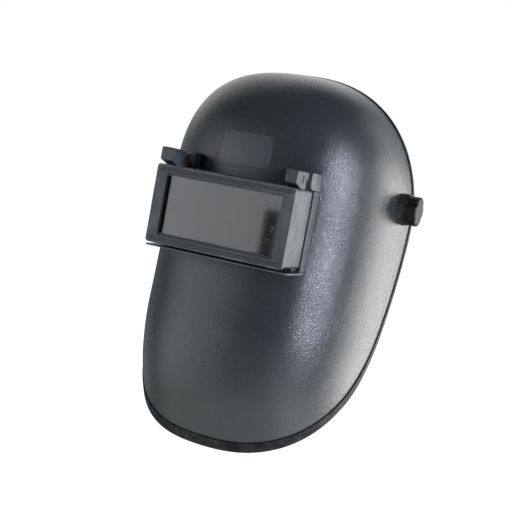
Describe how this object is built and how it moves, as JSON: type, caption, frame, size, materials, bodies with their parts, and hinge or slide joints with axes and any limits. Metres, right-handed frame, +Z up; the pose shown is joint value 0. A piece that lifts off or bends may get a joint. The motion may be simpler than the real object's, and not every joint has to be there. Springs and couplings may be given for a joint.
{
  "type": "welding helmet",
  "caption": "Full-face welding helmet: moulded charcoal face shell, lift-up filter window with thumb levers, side tension knobs and a ratchet-sized head harness.",
  "frame": {"origin": "middle of the line through the two side pivots, about at the wearer's temples", "axes": "+Z up, -Y the way the wearer looks, +X the wearer's left; helmet down and window shut"},
  "size_m": [0.2376, 0.2752, 0.3193],
  "materials": {
    "shell": "fine leather grain, charcoal grey-black",
    "trim": "smooth black edging",
    "window_plastic": "lightly grained charcoal",
    "lever": "satin charcoal",
    "clear": "clear polycarbonate",
    "filter": "dark green welding filter",
    "gasket": "soft black seal",
    "spring_steel": "bright spring strip",
    "pin_steel": "black oxide",
    "bolt": "glass-filled nylon",
    "brass": "machined",
    "knob": "satin black",
    "friction": "pressed fibre",
    "washer_plastic": "nylon",
    "band": "flexible polyethylene",
    "band_dark": "moulded nylon",
    "pinion": "natural acetal",
    "sweatband": "towelling over foam",
    "pad": "foam under knit cloth"
  },
  "bodies": {
    "headgear": {"headband": "band", "crown_strap_left": "band", "crown_strap_right": "band", "crown_peg": "band_dark", "strap_studs": "band_dark", "sweatband": "sweatband", "nape_pad": "pad", "ratchet_housing": "band_dark", "ratchet_cover": "band_dark", "housing_screws": "pin_steel", "hanger_left": "band_dark", "hanger_right": "band_dark", "hanger_rivets": "band_dark", "angle_stop_left": "washer_plastic", "angle_stop_right": "washer_plastic", "pivot_bolt_left": "bolt", "pivot_bolt_right": "bolt", "spacer_washer_left": "washer_plastic", "spacer_washer_right": "washer_plastic"},
    "helmet": {"helmet_shell": "shell", "rim_trim": "trim", "base_frame": "window_plastic", "clamp_frame": "window_plastic", "clear_glass": "clear", "glass_springs": "spring_steel", "hinge_pins": "pin_steel", "hinge_washers": "washer_plastic", "friction_washer_left": "friction", "friction_washer_right": "friction"},
    "lift_front": {"lift_frame": "window_plastic", "cover_glass": "clear", "filter_glass": "filter", "filter_gasket": "gasket", "filter_retainer": "window_plastic", "lift_lever_left": "lever", "lift_lever_right": "lever", "lever_screws": "pin_steel"},
    "knob_left": {"tension_knob_left": "knob", "knob_insert_left": "brass"},
    "knob_right": {"tension_knob_right": "knob", "knob_insert_right": "brass"},
    "ratchet": {"ratchet_knob": "knob", "ratchet_pinion": "pinion", "ratchet_spring": "pinion"},
    "tail_left": {"rack_left": "band"},
    "tail_right": {"rack_right": "band"}
  },
  "joints": [
    {"name": "raise", "type": "hinge", "parent": "headgear", "child": "helmet", "pos_m": [0, 0, 0], "axis": [-1, 0, 0], "range_deg": [0, 70]},
    {"name": "lift", "type": "hinge", "parent": "helmet", "child": "lift_front", "pos_m": [0, -0.103, 0.008], "axis": [-1, 0, 0], "range_deg": [0, 90]},
    {"name": "tension_left", "type": "hinge", "parent": "headgear", "child": "knob_left", "pos_m": [0.112, 0, 0], "axis": [1, 0, 0], "range_deg": [0, 180]},
    {"name": "tension_right", "type": "hinge", "parent": "headgear", "child": "knob_right", "pos_m": [-0.112, 0, 0], "axis": [-1, 0, 0], "range_deg": [0, 180]},
    {"name": "band_size", "type": "hinge", "parent": "headgear", "child": "ratchet", "pos_m": [0, 0.11591, -0.02406], "axis": [0, -0.9659, 0.2588], "range_deg": [0, 206]},
    {"name": "tail_left_slide", "type": "slide", "parent": "headgear", "child": "tail_left", "axis": [-1, 0, 0], "range_m": [0, 0.018]},
    {"name": "tail_right_slide", "type": "slide", "parent": "headgear", "child": "tail_right", "axis": [1, 0, 0], "range_m": [0, 0.018]}
  ],
  "couplings": [
    {"joint": "tail_left_slide", "follows": "band_size", "m_per_rad": 0.005},
    {"joint": "tail_right_slide", "follows": "band_size", "m_per_rad": 0.005}
  ]
}
